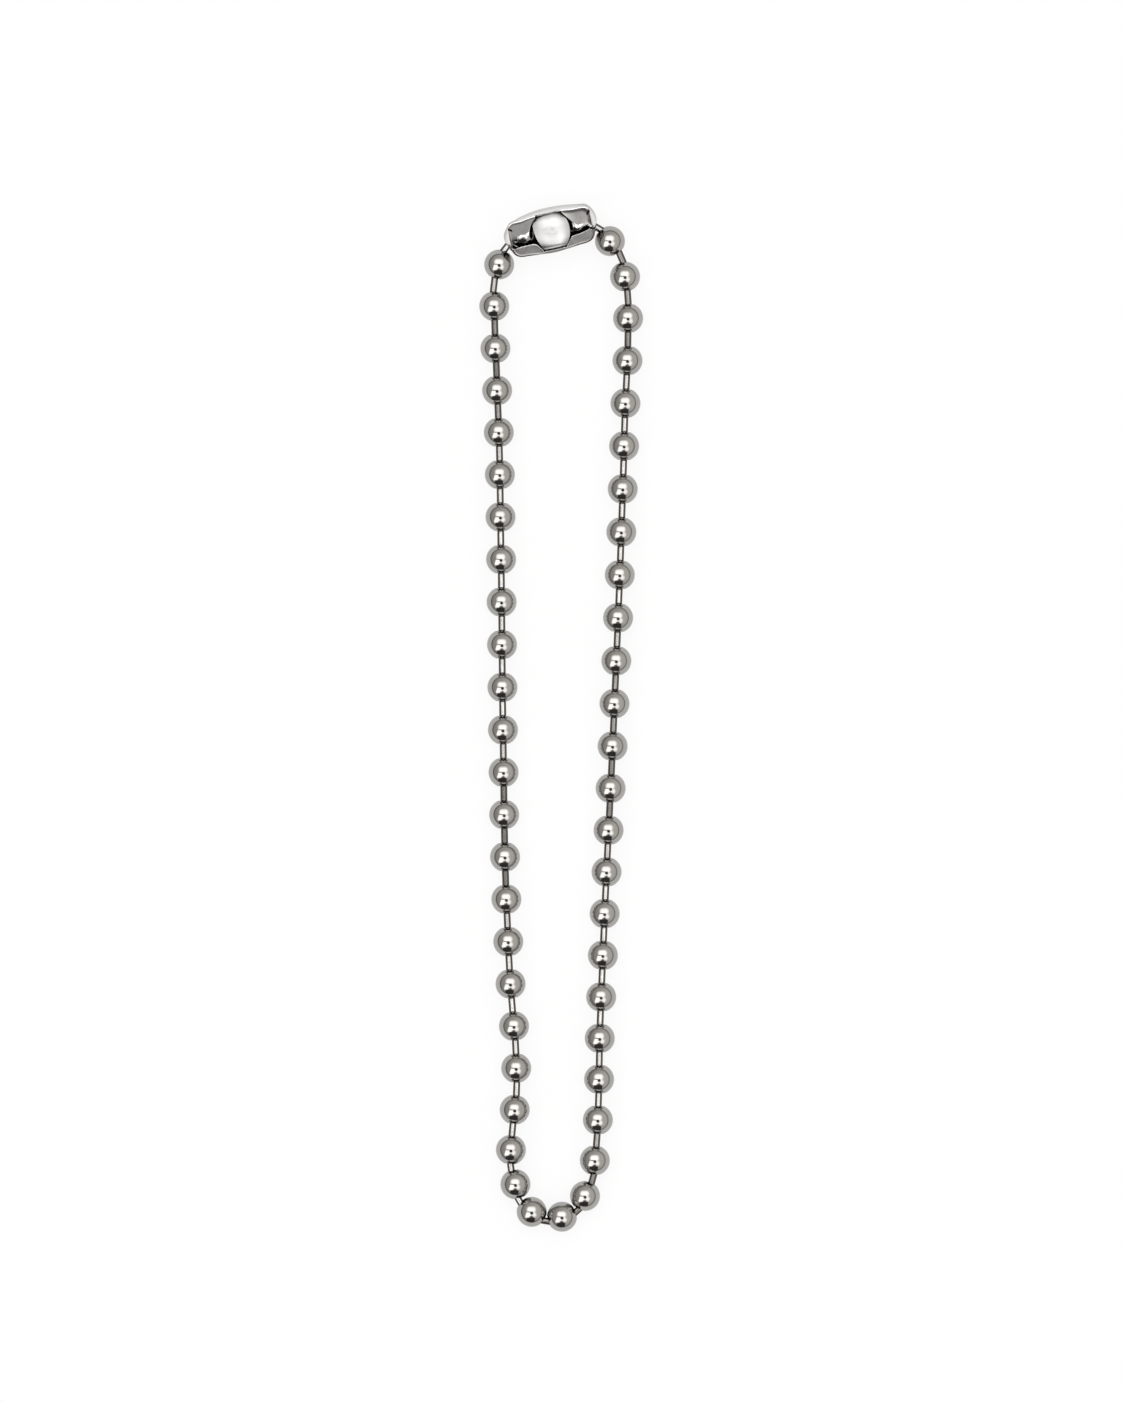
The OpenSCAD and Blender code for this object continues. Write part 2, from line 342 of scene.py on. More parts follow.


# A link's outline is mirrored about its middle, and its painted shade is the greatest of the
# painted shade of its ends and sides and the darkening of the whole link
def makeLinks(values):
    centres, axes = centresAndAxes("dumbbell_links", alongMost=True)
    shank, foot, fillet = values["shank"], values["shankHalf"], values["fillet"]
    head, rounding = values["head"], values["round"]
    end = foot + values["headLength"]
    rings = (values["darkHalf"], *values["rings"], values["cleanHalf"], values["lastRing"])
    half = np.concatenate([
        [[end, 0.0]],
        arc((end - rounding, head - rounding), rounding, 0, 90, values["roundSteps"]),
        [[foot + values["cone"], head], [foot + fillet, shank + fillet],
         [foot, shank + values["filletFoot"]], [foot - fillet, shank]],
        [[ring, shank] for ring in rings],
    ])
    profile = np.concatenate([half, [[0.0, shank]], half[::-1] * [-1, 1]])
    spokes = spokesAround(axes, values["steps"])
    # Painted shade at the shank's ends by the holes, and on its sides away from the top
    atEnds = smoothStep(values["cleanHalf"], values["darkHalf"], np.abs(profile[:, 0]))
    lowness = np.clip((values["sideFrom"] - spokes[:, None, :, 2]) / values["sideOver"], 0, 1)
    shade = np.maximum(atEnds[None, :, None], values["sideShade"] * lowness)
    shade = np.maximum(shade, linkDarkening(values, centres)[:, None, None])
    links = turnedSolids("dumbbellLinks", centres, axes, spokes, profile, shade,
                         steel("drawn"), closed=False)
    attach(links, "root")
    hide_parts("dumbbell_links")
    print("links:", len(centres), "with", len(links.data.polygons) * 2, "triangles")


# The connector in its own frame: u along it, v across it and w out of its flat front. Its trough
# is round at the back and square at the front. Angles go round an end's middle, from +u by +v.
# Radius is that of the back round the ends, and belly that of the circle that its sides follow,
# with blend rounding where they meet. Front is the height of the face, flare the power by which
# the wall leaves the back's outline for the front's, and fold the radius of the bend between.
connectorSettings = {
    "place": (-3.0, 129.63, 5.4), "turn": 12.5, "roll": 24.0,
    "endMiddle": 7.2, "radius": 5.4, "belly": 45.0, "blend": 0.12,
    "front": 4.8, "flare": 1.4, "fold": 0.40, "sheet": 0.40, "edge": 0.07,
    # How far the front reaches above and below, at places in u, and past the ends' middles
    "topU": (-7.2, -3.9, 0.0, 3.9, 7.2), "topV": (5.80, 6.30, 6.30, 6.40, 6.00),
    "lowU": (-7.2, -2.8, 0.0, 3.0, 7.2), "lowV": (4.75, 5.20, 5.40, 5.20, 4.70),
    "leftEnd": 4.0, "rightEnd": 4.25, "topCorner": 5.0, "lowCorner": 3.0,
    # How far the back is drawn in at the upper left, by angle, and along the side: where that
    # starts, how far past the end's middle it is full, and about the share reached at the middle
    "tuckAngle": (90, 120, 150, 180, 205), "tuck": (0.30, 0.65, 0.70, 0.15, 0.0),
    "tuckFrom": 1.5, "tuckPast": 1.5, "tuckEven": 0.85,
    # Painted shade of the wall by w, more at the ends and under them, on the fold's low side, in
    # the crease past the fold and in the corner slits
    "shadeW": (0, 1.2, 2.5, 4.4), "shade": (0.42, 0.32, 0.14, 0.05), "endShade": 0.6,
    "underShade": 0.75, "underSoft": 0.3, "underFade": 3.5, "lowShade": 0.22,
    "crease": 0.14, "endCrease": 0.50, "creaseTurn": (1.0, 1.57), "creaseGap": 0.1,
    "slitShade": 0.92, "slitLow": 3.2,
    # Where a lip starts, as a share of its panel's width, and the line of painted shade along its
    # foot
    "lipStart": 0.85, "lineHalf": 0.025, "lipLine": 0.75,
    # Where the sheet is cut: the end holes and notches, the corner slits and the strap's root
    "holeLow": 83.0, "holeHigh": 1.8, "hole": 54.0, "slit": (45.8, 51.2),
    "leftNotch": (17.4, 29.0), "rightNotch": (8.7, 16.6),
    "topRoot": (-3.2, 3.7), "lowRoot": (-2.75, 3.1), "rootFold": 20.0, "foldKnee": 60.0,
    # Steps of the sides and ends between their stops, and of the rows up the back, the wall, the
    # fold and the front, where a slit takes the first few
    "sideSteps": (12, 18, 12), "leftSteps": (12, 2, 18, 4, 8, 10),
    "rightSteps": (10, 12, 4, 16, 2, 12),
    "backSteps": (14, 3), "wallSteps": (4, 7), "foldSteps": (2, 2, 2),
    "panelStart": 0.30, "panelSteps": (6, 4, 1, 1, 3), "slitSteps": 5,
}

# The columns at which the stretches of those steps start, in order round the outline
markNames = (
    "topEnd", "topRootRight", "topRootLeft",
    "leftTop", "leftSlit", "leftSlitEnd", "leftNotch", "leftNotchEnd", "leftHoleEnd",
    "lowEnd", "lowRootLeft", "lowRootRight",
    "rightLow", "rightHole", "rightNotch", "rightNotchEnd", "rightSlit", "rightSlitEnd",
)

# The front's panels, each between two marks and read from its side round to its end. Edge is
# its inner edge in u and v, and at gives each point's share of the panel's columns. A panel is
# sunk by depth past a slope, its edge is turned down over lip, and its lip is turned up by
# turnUp as far as lipEnd of the columns. Fade is how far the crease's painted shade reaches.
panelSettings = {
    "hem": {
        "marks": ("lowRootRight", "lowRootLeft"),
        "edge": ((3.05, -4.28), (0.2, -4.38), (-2.7, -4.28)), "at": (0.0, 0.5, 1.0),
        "depth": 0.0, "slope": 0.4, "lip": 0.10, "turnUp": 0.0, "lipEnd": 0.0, "fade": 0.3},
    "upperLeft": {
        "marks": ("topRootLeft", "leftNotch"),
        "edge": ((-3.3, 5.6), (-4.3, 4.5), (-5.1, 3.3), (-5.75, 1.5), (-6.2, 0.80), (-7.3, 1.27),
                 (-8.5, 1.20), (-9.2, 0.85), (-9.5, 1.1), (-10.4, 1.2)),
        "at": (0.0, 0.12, 0.24, 0.36, 0.44, 0.54, 0.66, 0.76, 0.80, 1.0),
        "depth": 0.06, "slope": 0.4, "lip": 0.08, "turnUp": 0.40, "lipEnd": 0.77, "fade": 0.6},
    "upperRight": {
        "marks": ("topRootRight", "rightNotchEnd"),
        "edge": ((3.75, 5.6), (4.8, 4.0), (6.0, 2.2), (6.6, 0.7), (7.0, 0.20), (7.8, 0.58),
                 (9.0, 0.85), (10.3, 0.76), (10.95, 0.1)),
        "at": (0.0, 0.12, 0.24, 0.36, 0.44, 0.58, 0.76, 0.92, 1.0),
        "depth": 0.14, "slope": 1.0, "lip": 0.08, "turnUp": 0.40, "lipEnd": 1.1, "fade": 1.8},
    "lowerLeft": {
        "marks": ("lowRootLeft", "leftNotchEnd"),
        "edge": ((-2.75, -4.6), (-3.1, -3.5), (-4.3, -1.90), (-5.1, -1.62), (-8.5, -1.62),
                 (-9.8, -1.85), (-10.4, -2.1)),
        "at": (0.0, 0.12, 0.28, 0.36, 0.70, 0.86, 1.0),
        "depth": 0.05, "slope": 0.4, "lip": 0.14, "turnUp": 0.0, "lipEnd": 0.0, "fade": 0.5},
    "lowerRight": {
        "marks": ("lowRootRight", "rightNotch"),
        "edge": ((3.1, -4.55), (3.9, -3.5), (5.3, -1.68), (7.2, -1.50), (8.2, -1.28),
                 (10.0, -0.85), (10.8, -1.0)),
        "at": (0.0, 0.12, 0.30, 0.50, 0.62, 0.86, 1.0),
        "depth": 0.05, "slope": 0.4, "lip": 0.08, "turnUp": 0.0, "lipEnd": 0.0, "fade": 0.5},
}

# Rise is the share of a panel's columns over which its lip comes up, curlMost is how much of its
# quarter circle a turned down edge goes through, and plainLip is for columns with no panel
lipSettings = {"rise": (0.32, 0.44), "curlMost": 0.9, "plainLip": 0.1}

# The strap over the front, from its low edge to its root: v and w of its middle and u of its
# two long edges at the same places. Its section falls off by crown towards the long edges.
strapSettings = {
    "v": (-3.60, -3.22, -2.40, -0.36, 2.00, 3.65, 4.70, 5.60),
    "w": (5.60, 6.20, 6.75, 6.40, 5.62, 4.85, 4.25, 3.75),
    "left": (-2.50, -2.65, -3.00, -3.95, -4.42, -4.40, -3.85, -2.60),
    "right": (3.05, 3.30, 3.85, 4.85, 5.12, 4.70, 4.00, 3.20),
    "crown": 0.50, "crownPower": 2.2, "crownPull": 0.35,
    "rows": 64, "columns": 44, "sheet": 0.45, "edge": 0.12,
    # Painted shade along the strap at the knots, and towards its long edges
    "shadeAt": (0.0, 2.0, 2.45, 2.85, 3.4, 4.0, 5.0, 6.0, 7.0),
    "shade": (0.0, 0.0, 0.16, 0.0, 0.0, 0.12, 0.22, 0.60, 0.88),
    "sideShade": 0.55, "sideRange": (0.25, 0.95),
}


# Even steps between the stops, with the number of steps given for each stretch
def spaced(stops, counts):
    stretches = zip(stops[:-1], stops[1:], counts)
    parts = [np.linspace(start, stop, count, endpoint=False) for start, stop, count in stretches]
    return np.concatenate(parts + [[stops[-1]]])


# The smaller of two lengths with the corner between them rounded: minus blend times the
# logarithm of the sum of e ^ (-length / blend)
def softMin(a, b, blend):
    return -blend * np.logaddexp(-a / blend, -b / blend)


# A smooth curve through a short table of values: cubics whose slopes are the means of the
# straight slopes on either side
def curveThrough(knots, values, at):
    knots, values = np.array(knots), np.array(values)
    straight = np.diff(values) / np.diff(knots)
    slopes = np.r_[straight[0], (straight[:-1] + straight[1:]) / 2, straight[-1]]
    k = np.clip(np.searchsorted(knots, at) - 1, 0, len(knots) - 2)
    span = knots[k + 1] - knots[k]
    t = (at - knots[k]) / span
    return (values[k] * (1 + 2 * t) * (1 - t) ** 2 + values[k + 1] * t * t * (3 - 2 * t)
            + slopes[k] * span * t * (1 - t) ** 2 - slopes[k + 1] * span * t * t * (1 - t))


# Distance from the foot line to the round back: an arc of the big belly circle along the sides,
# the smaller of it and the plain radius round the ends, and less at the upper left by the tuck
def backReach(values, foot, degrees):
    turn = np.radians(degrees)
    offset = values["belly"] - values["radius"]
    half = np.abs(foot) * np.abs(np.cos(turn)) + offset * np.abs(np.sin(turn))
    bellied = -half + np.sqrt(half ** 2 + values["belly"] ** 2 - offset ** 2 - foot ** 2)
    onSide = (degrees == 90) | (degrees == 270)
    reach = np.where(onSide, bellied, softMin(bellied, values["radius"], values["blend"]))
    tuckAngle = values["tuckAngle"]
    tuck = curveThrough(tuckAngle, values["tuck"], np.clip(degrees, tuckAngle[0], tuckAngle[-1]))
    tuckStop = values["endMiddle"] + values["tuckPast"]
    growing = smoothStep(values["tuckFrom"], tuckStop, -foot) / values["tuckEven"]
    tuck = tuck * np.where(degrees == 90, growing, 1.0)
    return reach - np.where((foot < 0) & (degrees <= tuckAngle[-1]), tuck, 0.0)


# Distance from the foot line to the front's edge: smooth curves along the sides, and round the
# ends 1 / ((cos / end) ^ n + (sin / side) ^ n) ^ (1 / n), squarer as n grows
def frontReach(values, foot, degrees):
    turn = np.radians(degrees)
    upper = np.sin(turn) > 0
    side = np.where(upper, curveThrough(values["topU"], values["topV"], foot),
                    curveThrough(values["lowU"], values["lowV"], foot))
    end = np.where(np.cos(turn) < 0, values["leftEnd"], values["rightEnd"])
    power = np.where(upper, values["topCorner"], values["lowCorner"])
    sumOfPowers = (np.abs(np.cos(turn)) / end) ** power + (np.abs(np.sin(turn)) / side) ** power
    return np.where((degrees == 90) | (degrees == 270), side, sumOfPowers ** (-1 / power))


# The outline's columns, from the right end of the upper side over the left end and back. Foot is
# where a column stands on the line between the ends' middles, and degrees its direction there.
# Marks name the columns at which its stretches start.
def outlineColumns(values):
    middle, hole = values["endMiddle"], values["hole"]
    slitStart, slitStop = values["slit"]
    topLeft, topRight = values["topRoot"]
    lowLeft, lowRight = values["lowRoot"]
    leftStops = [90, 180 - slitStop, 180 - slitStart, 180 + values["leftNotch"][0],
                 180 + values["leftNotch"][1], 180 + hole, 270]
    rightStops = [270, 360 - hole, 360 - values["rightNotch"][1], 360 - values["rightNotch"][0],
                  360 + slitStart, 360 + slitStop, 450]
    top = spaced([middle, topRight, topLeft, -middle], values["sideSteps"])[:-1]
    left = spaced(leftStops, values["leftSteps"])[:-1]
    low = spaced([-middle, lowLeft, lowRight, middle], values["sideSteps"])[:-1]
    right = spaced(rightStops, values["rightSteps"])[:-1]
    foot = np.concatenate([top, np.full(len(left), -middle), low, np.full(len(right), middle)])
    around = np.concatenate([np.full(len(top), 90.0), left, np.full(len(low), 270.0), right])
    degrees = np.where(around < 360, around, around - 360)
    steps = values["sideSteps"] + values["leftSteps"] + values["sideSteps"] + values["rightSteps"]
    marks = dict(zip(markNames, np.cumsum((0,) + steps)))
    return foot, degrees, marks


# The sheet from the spine under the trough to the end of the fold, as reach from the foot line
# and height w for each row and column. The back is (reach * sin, -reach * cos) of a quarter turn,
# the wall goes from the back's reach to the front's by (height / front) ^ flare, and the fold
# turns in on a quarter circle.
def wallRows(values, back, front):
    high, fold = values["front"], values["fold"]
    backTurn = np.radians(spaced([0, values["holeLow"], 90], values["backSteps"]))[:-1, None]
    wall = spaced([0, values["holeHigh"], high - fold], values["wallSteps"])[:-1, None]
    foldStops = [0, values["rootFold"], values["foldKnee"], 90]
    foldTurn = np.radians(spaced(foldStops, values["foldSteps"]))[:, None]
    height = np.concatenate([wall, high - fold * (1 - np.sin(foldTurn))])
    inward = np.concatenate([0 * wall, fold * (1 - np.cos(foldTurn))])
    flared = back + (front - back) * (height / high) ** values["flare"] - inward
    reach = np.concatenate([back * np.sin(backTurn), flared])
    w = np.concatenate([-back * np.cos(backTurn), height + 0 * back])
    return reach, w, foldTurn


# Painted shade of those rows, the greatest of the wall's, the ends' undersides' and the slits',
# with the crease's over the end of the fold
def wallShade(values, foot, outward, marks, w, foldTurn, crease):
    below = np.clip(-outward[:, 1], 0, 1)
    middle = values["endMiddle"]
    ends = 1 + values["endShade"] * np.abs(outward[:, 0])
    nearEnd = smoothStep(middle - values["underFade"], middle, np.abs(foot))
    under = values["underShade"] * smoothStep(0.0, values["underSoft"], below) * nearEnd
    shade = np.maximum(ends * np.interp(w, values["shadeW"], values["shade"]), under)
    column = np.arange(len(foot))
    inSlit = (((column >= marks["leftSlit"]) & (column <= marks["leftSlitEnd"]))
              | ((column >= marks["rightSlit"]) & (column <= marks["rightSlitEnd"])))
    shade = np.maximum(shade, values["slitShade"] * inSlit * (w >= values["slitLow"]))
    onFold = slice(-len(foldTurn), None)
    creased = crease * smoothStep(*values["creaseTurn"], foldTurn)
    shade[onFold] = np.maximum(shade[onFold] + values["lowShade"] * below, creased)
    return shade


# The front's rows go straight from the fold's end to the panels' inner edges, which are lines
# through each panel's table. Their w is the front's, less the panel's depth, which grows over
# the slope and fades to the edge, less the quarter circle of the turned down edge, plus the
# even rise of a lip. Painted shade is the greater of the crease's, which fades across the panel,
# and the dark painted line's along a lip's foot.
def frontRows(values, foldEnd, marks, crease):
    count = len(foldEnd)
    inner = foldEnd.copy()
    depth, slope, lip = np.zeros(count), np.ones(count), np.full(count, lipSettings["plainLip"])
    turnUp, fade, onPanel = np.zeros(count), np.ones(count), np.zeros(count, bool)
    for panel in panelSettings.values():
        start, stop = (marks[mark] for mark in panel["marks"])
        if stop - start > count / 2:
            start = start + count  # the upper right panel runs on past the last column
        step = 1 if stop > start else -1
        run = np.arange(start, stop + step, step)
        columns = run % count
        share = np.linspace(0, 1, len(run))
        edge = np.array(panel["edge"])
        inner[columns, 0] = np.interp(share, panel["at"], edge[:, 0])
        inner[columns, 1] = np.interp(share, panel["at"], edge[:, 1])
        depth[columns], slope[columns] = panel["depth"], panel["slope"]
        lip[columns], fade[columns] = panel["lip"], panel["fade"]
        rise = smoothStep(*lipSettings["rise"], share) * (share < panel["lipEnd"])
        turnUp[columns] = panel["turnUp"] * rise
        onPanel[np.arange(min(start, stop), max(start, stop)) % count] = True

    lipStart, lineHalf = values["lipStart"], values["lineHalf"]
    stops = [0, values["panelStart"], lipStart - lineHalf, lipStart, lipStart + lineHalf, 1]
    t = spaced(stops, values["panelSteps"])[1:, None]
    width = np.linalg.norm(inner[:, :2] - foldEnd[:, :2], axis=1)
    gone, toGo = width * t, width * (1 - t)
    curl = np.clip(1 - toGo / lip, 0, lipSettings["curlMost"])
    turned = np.maximum(t - lipStart, 0) / (1 - lipStart)
    points = foldEnd + (inner - foldEnd) * t[:, :, None]
    points[:, :, 2] = (values["front"] - depth * smoothStep(0.0, 1.0, gone / slope) * (1 - t)
                       - lip * (1 - np.sqrt(1 - curl ** 2)) + turnUp * turned)
    nearFoot = 1 - np.minimum(np.abs(t - lipStart) / lineHalf, 1)
    line = values["lipLine"] * (turnUp > 0) * nearFoot
    creased = crease * (1 - smoothStep(values["creaseGap"], 1.0, gone / fade))
    return points, np.maximum(creased, line), turnUp, onPanel


# Which faces stay, by the row and column that they start from, and which of those are the flat
# front's. Past the fold only the panels' columns stay. The strap's root, the holes and notches
# of the ends and the corner slits are cut out.
def cutFaces(values, marks, rowCount, turnUp, onPanel):
    firstWall = sum(values["backSteps"])
    firstFold = firstWall + sum(values["wallSteps"])
    firstPanel = firstFold + sum(values["foldSteps"])
    holeLow, holeHigh = firstWall - values["backSteps"][1], firstWall + values["wallSteps"][0]
    column = np.arange(len(onPanel))[None, :]
    row = np.arange(rowCount - 1)[:, None]

    def between(first, last):
        return (column >= marks[first]) & (column < marks[last])

    keep = (row < firstPanel) | onPanel[None, :]
    keep &= ~((row >= firstFold + values["foldSteps"][0]) & between("topRootRight", "topRootLeft"))
    hole = between("leftNotch", "leftHoleEnd") | between("rightHole", "rightNotchEnd")
    keep &= ~((row >= holeLow) & (row < holeHigh) & hole)
    notch = between("leftNotch", "leftNotchEnd") | between("rightNotch", "rightNotchEnd")
    keep &= ~((row >= holeHigh) & notch)
    slit = between("leftSlit", "leftSlitEnd") | between("rightSlit", "rightSlitEnd")
    firstSlit, lastSlit = firstFold - 1, firstPanel + values["slitSteps"]  # from under the fold
    keep &= ~((row >= firstSlit) & (row < lastSlit) & slit)
    lipSteps = values["panelSteps"][3:]  # the stretches past a lip's start
    firstLip = rowCount - 1 - sum(lipSteps)
    # Turned-up lips take the lighter steel, a painted highlight along them
    litLip = (row >= firstLip) & (turnUp > 0)[None, :]
    return keep, ((row >= firstPanel) & ~litLip)[keep]


# The folded sheet: columns go round the outline, and rows from the spine round the back, up the
# wall, over the fold and in along the front. A point is the foot plus its reach outward, with w.
def makeTrough(values):
    foot, degrees, marks = outlineColumns(values)
    outward = np.stack([np.cos(np.radians(degrees)), np.sin(np.radians(degrees))], axis=1)
    tiny = 1e-9  # a cosine or sine below this is rounding
    outward[np.abs(outward) < tiny] = 0.0
    back, front = backReach(values, foot, degrees), frontReach(values, foot, degrees)
    reach, w, foldTurn = wallRows(values, back, front)
    wall = np.stack([foot + outward[:, 0] * reach, outward[:, 1] * reach, w], axis=2)
    crease = values["crease"] + values["endCrease"] * np.abs(outward[:, 0])
    shade = wallShade(values, foot, outward, marks, w, foldTurn, crease)
    panels, panelShade, turnUp, onPanel = frontRows(values, wall[-1], marks, crease)
    points = np.concatenate([wall, panels])
    shade = np.concatenate([shade, panelShade])
    keep, onFront = cutFaces(values, marks, len(points), turnUp, onPanel)
    quads = gridFaces(len(points), len(foot))[keep]
    return points.reshape(-1, 3), quads, shade.reshape(-1), onFront


# The strap: smooth curves through the tables give v, w and both edges along its length, u is
# shared evenly between the edges, and w falls by crown * |2 * share - 1| ^ crownPower. Its
# painted shade, darkest towards its root and its long edges, is 1 - (1 - along) * (1 - aside).
def makeStrap(values):
    knots = np.arange(len(values["v"]))
    at = np.linspace(0, knots[-1], values["rows"])
    curves = (curveThrough(knots, values[key], at)[:, None] for key in ("v", "w", "left", "right"))
    v, w, left, right = curves
    share = np.linspace(0, 1, values["columns"])[None, :]
    fromMiddle = np.abs(2 * share - 1)
    u = left + (right - left) * share
    fall = values["crown"] * fromMiddle ** values["crownPower"]
    points = np.stack(np.broadcast_arrays(u, v - values["crownPull"] * fall, w - fall), axis=2)
    along = np.interp(at, values["shadeAt"], values["shade"])[:, None]
    aside = values["sideShade"] * smoothStep(*values["sideRange"], fromMiddle)
    shade = 1 - (1 - along) * (1 - aside)
    quads = gridFaces(values["rows"], values["columns"], wrapColumns=False).reshape(-1, 4)
    return points.reshape(-1, 3), quads, shade.reshape(-1)


# Rolls points about the connector's length, turns them in plan and sets them in its place
def placed(values, points):
    roll, turn = np.radians(values["roll"]), np.radians(values["turn"])
    rolling = np.array([[1, 0, 0],
                        [0, np.cos(roll), -np.sin(roll)],
                        [0, np.sin(roll), np.cos(roll)]])
    turning = np.array([[np.cos(turn), -np.sin(turn), 0],
                        [np.sin(turn), np.cos(turn), 0],
                        [0, 0, 1]])
    return points @ rolling.T @ turning.T + np.array(values["place"])


# Weld is in millimetres. Edges that turn by more than roundFrom degrees are rounded.
finishSettings = {"weld": 0.01, "roundSteps": 2, "roundFrom": 60.0}


# Welds a sheet's seams, gives it its thickness inwards and rounds its cut edges. The inner side
# takes the last material.
def finishSheet(piece, thickness, edge):
    weld = piece.modifiers.new("weld", "WELD")
    weld.merge_threshold = finishSettings["weld"] * mm
    thick = piece.modifiers.new("thick", "SOLIDIFY")
    thick.thickness = thickness * mm
    thick.offset = -1.0
    thick.use_quality_normals = True
    thick.material_offset = 2
    rounded = piece.modifiers.new("rounded", "BEVEL")
    rounded.width = edge * mm
    rounded.segments = finishSettings["roundSteps"]
    rounded.limit_method = "ANGLE"
    rounded.angle_limit = np.radians(finishSettings["roundFrom"])
    rounded.harden_normals = True


# The trough is painted lighter outside and on its turned-up lips, as painted light, and darker on
# its front, as painted shade. Inner sides are painted dark as shade, and the strap is satin
def makeConnector(values):
    paintedLit, shadedFront, hollow = steel("paintedLit"), steel("sheet"), steel("hollow")
    points, quads, shade, onFront = makeTrough(values)
    materials = [paintedLit, shadedFront, hollow]
    trough = makePiece("connectorTrough", placed(values, points), quads, materials, shade)
    trough.data.polygons.foreach_set("material_index", onFront.astype(int))
    finishSheet(trough, values["sheet"], values["edge"])
    points, quads, shade = makeStrap(strapSettings)
    materials = [steel("satin"), hollow]
    strap = makePiece("connectorStrap", placed(values, points), quads, materials, shade)
    finishSheet(strap, strapSettings["sheet"], strapSettings["edge"])
    for piece in (trough, strap):
        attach(piece, "root")
        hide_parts("connector")
    print("connector: trough and strap")


# The room is painted on a flat chart: a point of a ball seen from above mirrors the direction
# that the chart holds at the same point, with the ball's edge at 1 and the horizon at 0.71. The
# room is even but for a slope across it and a fall to the horizon. Panels are white and cards
# are dark boxes on the chart, each with its middle, half width and half height, lean, corner
# radius, soft edge and share of its colour.
lightSettings = {
    "room": 0.72, "roomTint": (1.0, 0.965, 0.925), "roomSlope": (0.32, 0.02),
    "horizon": 0.30, "rise": 0.34, "white": 2.7, "dark": 0.06, "darkWarmth": 0.08,
    "backdrop": 0.93, "leastSpread": 0.001,
    "columns": ("x", "y", "w", "h", "lean", "round", "soft", "share"),
    "panels": [
        (-0.025, 0.150, 0.110, 0.020, 0.00, 0.070, 0.190, 1.00),
        (-0.205, -0.190, 0.100, 0.100, 0.30, 0.050, 0.070, 1.00),
        (0.155, -0.185, 0.015, 0.020, 0.00, 0.040, 0.170, 0.85),
        (0.160, 0.000, 0.100, 0.200, 0.00, 0.050, 0.300, 0.07),
    ],
    "cards": [
        (0.000, -0.090, 0.045, 0.018, 0.00, 0.028, 0.060, 1.00),
        (-0.100, 0.000, 0.160, 0.004, 0.00, 0.012, 0.025, 0.95),
        (-0.075, -0.550, 0.170, 0.060, 0.15, 0.080, 0.070, 1.00),
        (-0.030, -0.410, 0.030, 0.040, 0.00, 0.070, 0.080, 0.80),
    ],
}


# The box's share inside it, falling to 0 over its soft edge, by the distance past its straight
# sides: the root of the sum of the squares of the distances past its width and its height
def chartBox(tree, x, y, box):
    fromX = calc(tree, "SUBTRACT", x, box["x"])
    fromY = calc(tree, "SUBTRACT", y, box["y"])
    slid = calc(tree, "SUBTRACT", fromX, calc(tree, "MULTIPLY", fromY, box["lean"]))
    widthLeft = calc(tree, "SUBTRACT", calc(tree, "ABSOLUTE", slid), box["w"])
    heightLeft = calc(tree, "SUBTRACT", calc(tree, "ABSOLUTE", fromY), box["h"])
    pastX = calc(tree, "MAXIMUM", widthLeft, 0.0)
    pastY = calc(tree, "MAXIMUM", heightLeft, 0.0)
    squares = [calc(tree, "MULTIPLY", past, past) for past in (pastX, pastY)]
    past = calc(tree, "SQRT", calc(tree, "ADD", *squares))
    softRange = (box["round"], box["round"] + box["soft"])
    inBox = mapRange(tree, past, softRange, (1.0, 0.0), "SMOOTHSTEP")
    return calc(tree, "MULTIPLY", inBox, box["share"])


# A direction lies on the chart at (x, y) / root of (2 * z + 2), which leastSpread keeps off 0
# straight below. Camera rays see the plain backdrop instead of the room.
def makeLight(values):
    world = bpy.data.worlds.new("studio")
    bpy.context.scene.world = world
    world.use_nodes = True
    tree = world.node_tree
    tree.nodes.clear()
    direction = addNode(tree, "ShaderNodeTexCoord").outputs["Generated"]
    parts = addNode(tree, "ShaderNodeSeparateXYZ", {"Vector": direction}).outputs
    doubled = calc(tree, "MULTIPLY_ADD", parts[2], 2.0, 2.0)
    spread = calc(tree, "SQRT", calc(tree, "MAXIMUM", doubled, values["leastSpread"]))
    x = calc(tree, "DIVIDE", parts[0], spread)
    y = calc(tree, "DIVIDE", parts[1], spread)

    slopes = [calc(tree, "MULTIPLY", part, by) for part, by in zip((x, y), values["roomSlope"])]
    level = calc(tree, "ADD", calc(tree, "ADD", *slopes), values["room"])
    fromHorizon = calc(tree, "ABSOLUTE", parts[2])
    low = mapRange(tree, fromHorizon, (0.0, values["rise"]), (values["horizon"], 1.0), "SMOOTHSTEP")
    level = calc(tree, "MULTIPLY", level, low)
    tinted = [calc(tree, "MULTIPLY", level, tint) for tint in values["roomTint"]]
    colour = addNode(tree, "ShaderNodeCombineColor", dict(enumerate(tinted))).outputs[0]
    white, dark = grey(values["white"]), grey(values["dark"], values["darkWarmth"])
    for boxes, paint in ((values["panels"], white), (values["cards"], dark)):
        for row in boxes:
            share = chartBox(tree, x, y, dict(zip(values["columns"], row)))
            colour = mixColour(tree, share, colour, paint)

    room = addNode(tree, "ShaderNodeBackground", {"Color": colour}).outputs[0]
    backdrop = {"Color": grey(values["backdrop"])}
    plain = addNode(tree, "ShaderNodeBackground", backdrop).outputs[0]
    seen = addNode(tree, "ShaderNodeLightPath").outputs["Is Camera Ray"]
    both = addNode(tree, "ShaderNodeMixShader", {0: seen, 1: room, 2: plain}).outputs[0]
    addNode(tree, "ShaderNodeOutputWorld", {"Surface": both})
    print("light: a pale room with", len(values["panels"]), "soft panels")


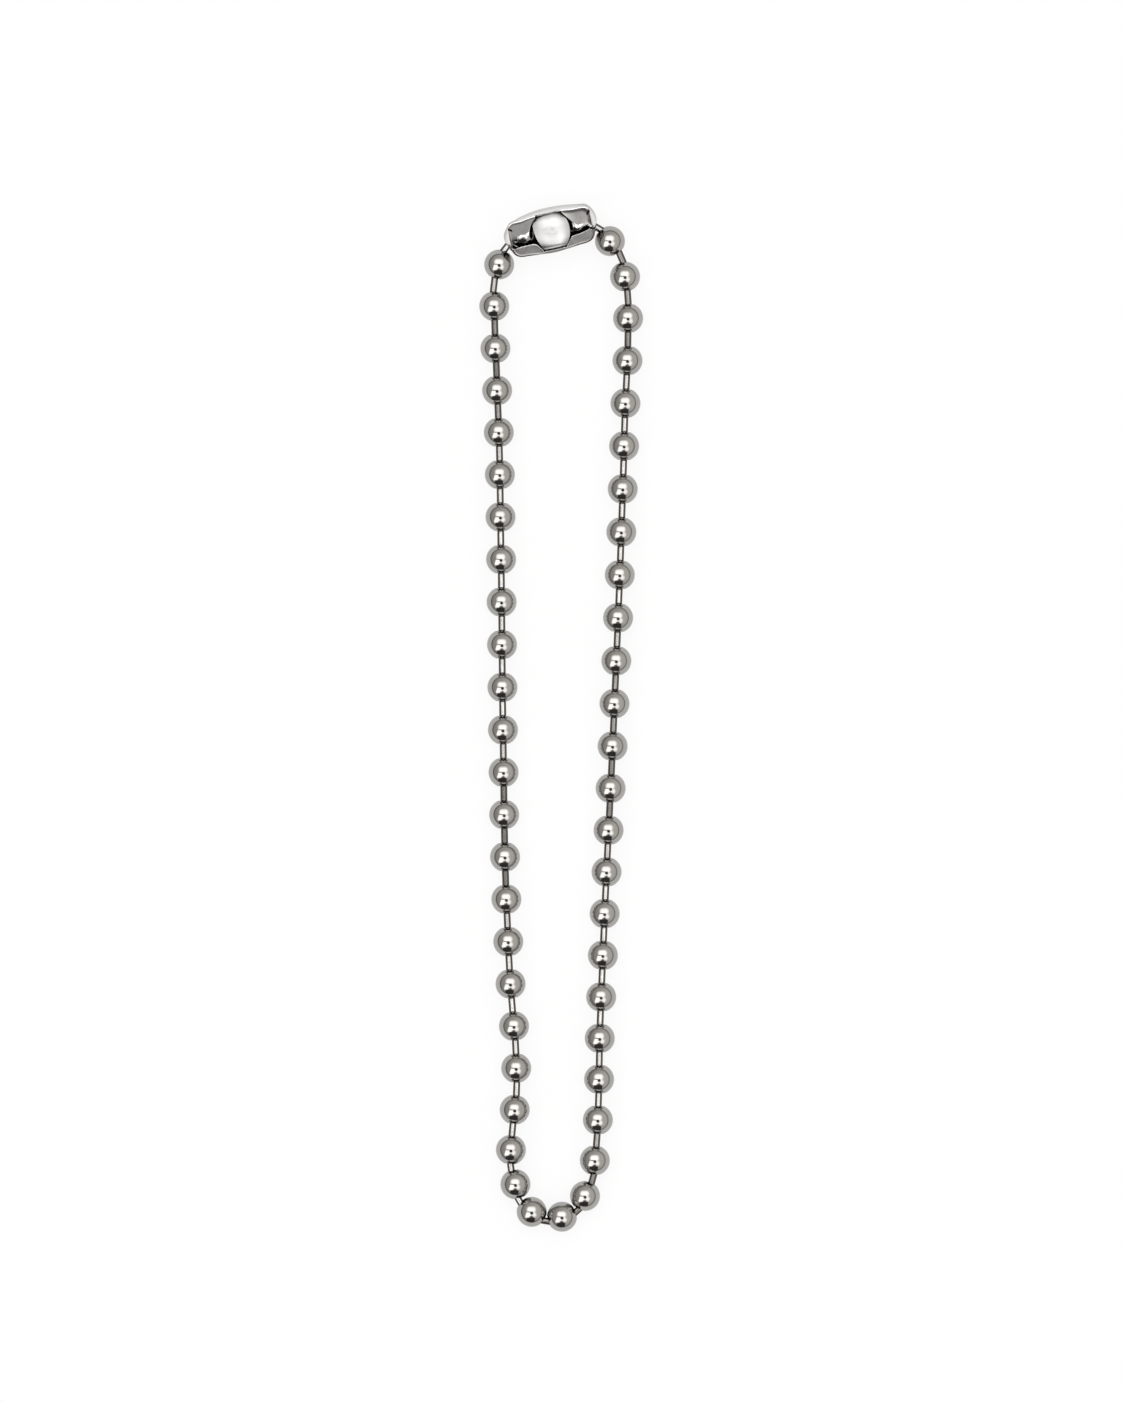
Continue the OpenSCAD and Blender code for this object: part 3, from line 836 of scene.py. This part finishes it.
floorSettings = {"size": 6000.0, "pale": 0.10, "dull": 0.09, "roughness": 0.9, "glow": 0.88,
                 "patchScale": 8.0, "patchDetail": 2.0}


# A flat square that glows white, with slow pale patches in its colour
def makeFloor(values):
    material = bpy.data.materials.new("paleFloor")
    material.use_nodes = True
    tree = material.node_tree
    shader = tree.nodes["Principled BSDF"]
    place = addNode(tree, "ShaderNodeTexCoord").outputs["Object"]
    patches = noise(tree, place, values["patchScale"], values["patchDetail"])
    colour = mixColour(tree, patches, grey(values["dull"]), grey(values["pale"]))
    tree.links.new(colour, shader.inputs["Base Color"])
    shader.inputs["Roughness"].default_value = values["roughness"]
    shader.inputs["Specular IOR Level"].default_value = 0.0
    shader.inputs["Emission Color"].default_value = grey(1.0)
    shader.inputs["Emission Strength"].default_value = values["glow"]
    half = values["size"] / 2
    corners = np.array([[-half, -half, 0], [half, -half, 0], [half, half, 0], [-half, half, 0.0]])
    floor = makePiece("floor", corners, np.array([[0, 1, 2, 3]]), [material])
    print("floor: a white surface under the chain")


# The photo is 1122 by 1402 pixels at 3.78 pixels to a millimetre at the balls' height, taken
# straight down, with its middle a little above the loop's
cameraSettings = {"height": 1402.0, "scale": 3.78, "middle": (-0.05, 4.46), "level": 4.0,
                  "distance": 5000.0, "sensor": 36.0, "clip": (0.01, 20.0)}


# The lens is the sensor's width times the distance over the photo's height in millimetres
def makeCamera(values):
    camera = bpy.data.cameras.new("camera")
    camera.sensor_width = values["sensor"]
    camera.lens = camera.sensor_width * values["distance"] / (values["height"] / values["scale"])
    camera.clip_start, camera.clip_end = values["clip"]
    holder = bpy.data.objects.new("camera", camera)
    high = values["level"] + values["distance"]
    holder.location = (values["middle"][0] * mm, values["middle"][1] * mm, high * mm)
    bpy.context.scene.collection.objects.link(holder)
    bpy.context.scene.camera = holder
    bpy.context.scene.view_settings.view_transform = "Standard"
    print("camera: straight down on the loop")


makeCamera(cameraSettings)
makeLight(lightSettings)
makeFloor(floorSettings)
makeBalls(ballSettings)
makeLinks(linkSettings)
makeConnector(connectorSettings)
